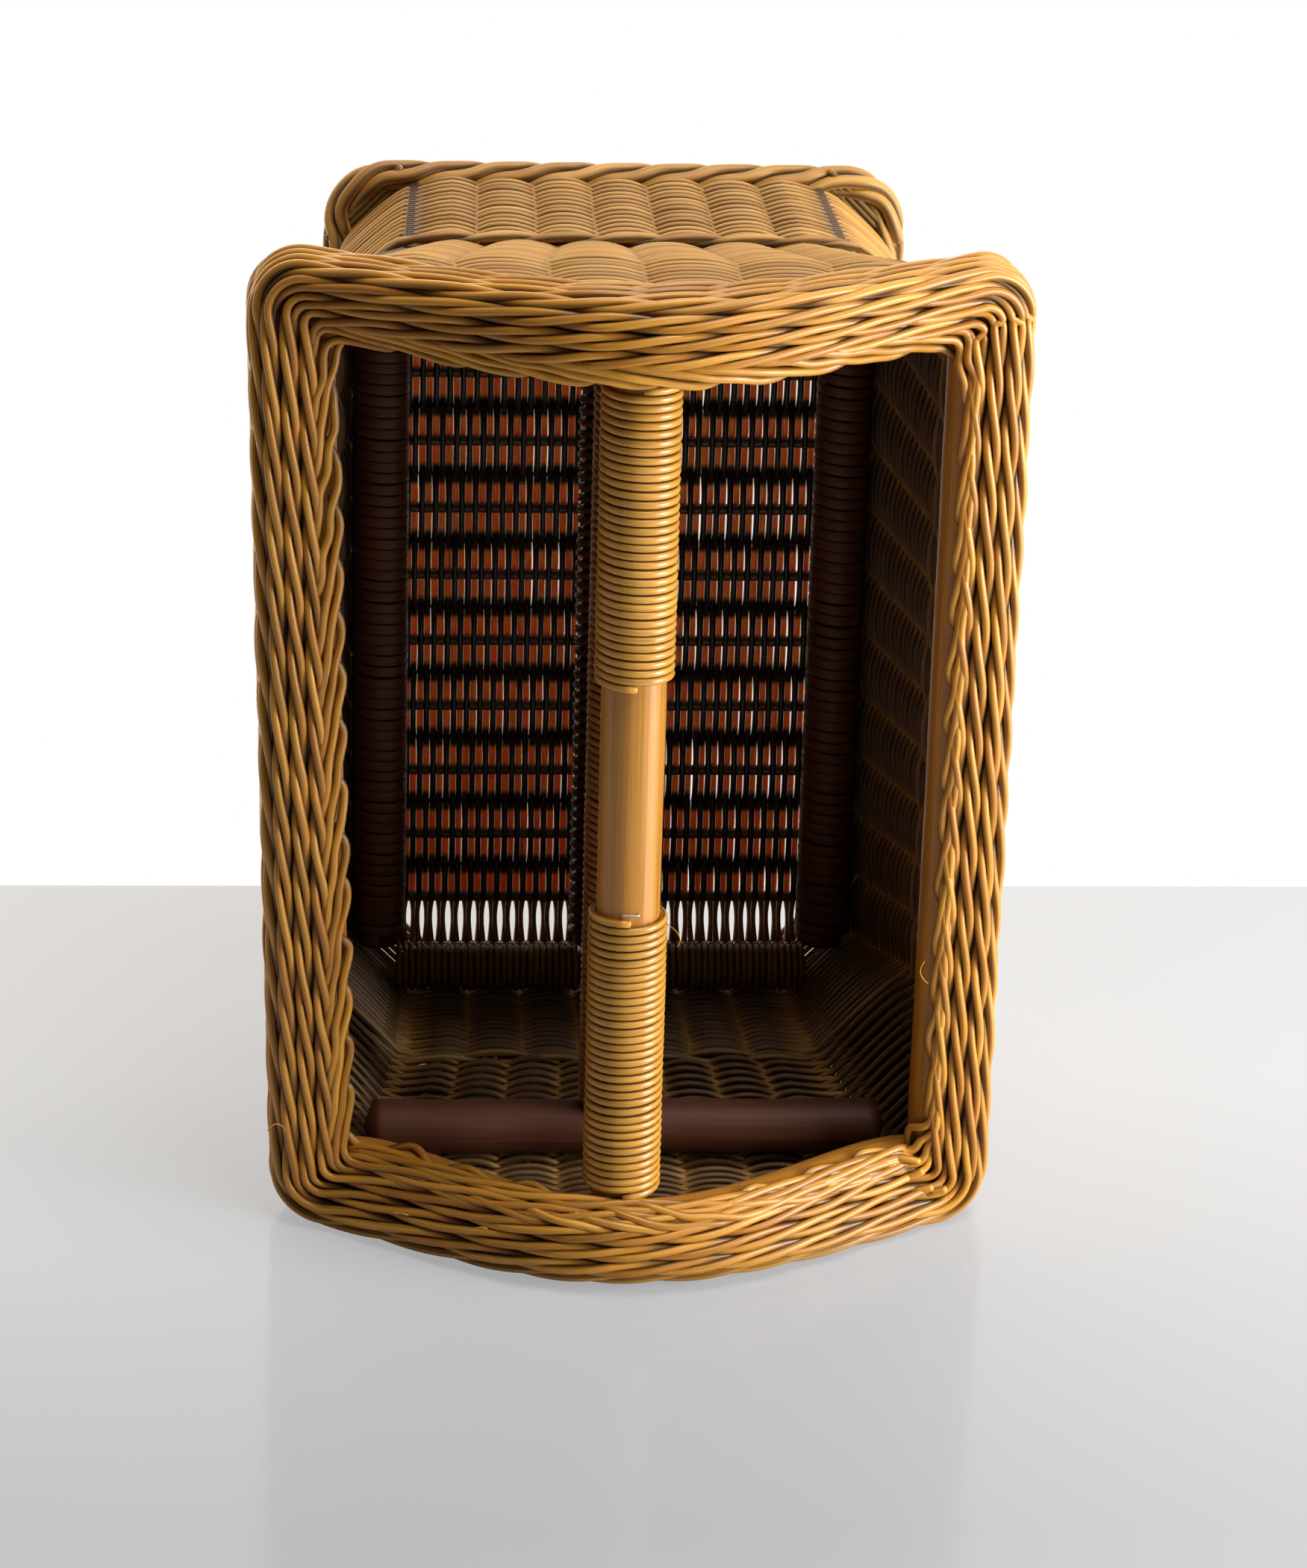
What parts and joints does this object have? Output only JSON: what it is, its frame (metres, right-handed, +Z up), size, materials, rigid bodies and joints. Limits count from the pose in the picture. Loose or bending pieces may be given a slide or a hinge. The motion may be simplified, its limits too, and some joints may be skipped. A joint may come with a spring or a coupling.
{
  "type": "magazine basket",
  "caption": "Rattan basket for magazines: woven flared walls, braided arched rim, wrapped carrying handle and a lower rail that parts it into two compartments.",
  "frame": {"origin": "centre of the foot, on the surface that the basket stands on", "axes": "+X along the basket towards its front end, +Y to its left side, +Z up through the open top"},
  "size_m": [0.388, 0.29, 0.261],
  "materials": {
    "reed": "honey-coloured round reed, lightly varnished",
    "bare_pole": "varnished rattan pole with lengthwise grain",
    "cane_wrap": "glossy cane binding",
    "floor_reed": "matt brown reed",
    "staple_steel": "plain steel wire"
  },
  "bodies": {
    "root": {"rim_braid": "reed", "rim_pole_left": "bare_pole", "rim_pole_right": "bare_pole", "rim_pole_front": "bare_pole", "rim_pole_rear": "bare_pole", "lower_wall_front": "reed", "lower_wall_front_left": "reed", "lower_wall_left": "reed", "lower_wall_rear_left": "reed", "lower_wall_rear": "reed", "lower_wall_rear_right": "reed", "lower_wall_right": "reed", "lower_wall_front_right": "reed", "upper_wall_front": "reed", "upper_wall_front_left": "reed", "upper_wall_left": "reed", "upper_wall_rear_left": "reed", "upper_wall_rear": "reed", "upper_wall_rear_right": "reed", "upper_wall_right": "reed", "upper_wall_front_right": "reed", "mid_band": "reed", "foot_border": "reed", "handle_pole": "bare_pole", "handle_wrap_front": "cane_wrap", "handle_wrap_rear": "cane_wrap", "handle_staple": "staple_steel", "cross_pole_front": "bare_pole", "cross_pole_rear": "bare_pole", "divider_rail": "bare_pole", "divider_rail_wrap": "cane_wrap", "base_side_pole_left": "bare_pole", "base_side_pole_left_wrap": "floor_reed", "base_side_pole_right": "bare_pole", "base_side_pole_right_wrap": "floor_reed", "base_middle_pole": "bare_pole", "base_middle_pole_wrap": "floor_reed", "base_end_pole_front": "bare_pole", "base_end_pole_front_wrap": "floor_reed", "base_end_pole_rear": "bare_pole", "base_end_pole_rear_wrap": "floor_reed", "base_stake_01": "floor_reed", "base_stake_02": "floor_reed", "base_stake_03": "floor_reed", "base_stake_04": "floor_reed", "base_stake_05": "floor_reed", "base_stake_06": "floor_reed", "base_stake_07": "floor_reed", "base_stake_08": "floor_reed", "base_stake_09": "floor_reed", "base_stake_10": "floor_reed", "base_weave_left": "floor_reed", "base_weave_right": "floor_reed"}
  },
  "joints": []
}
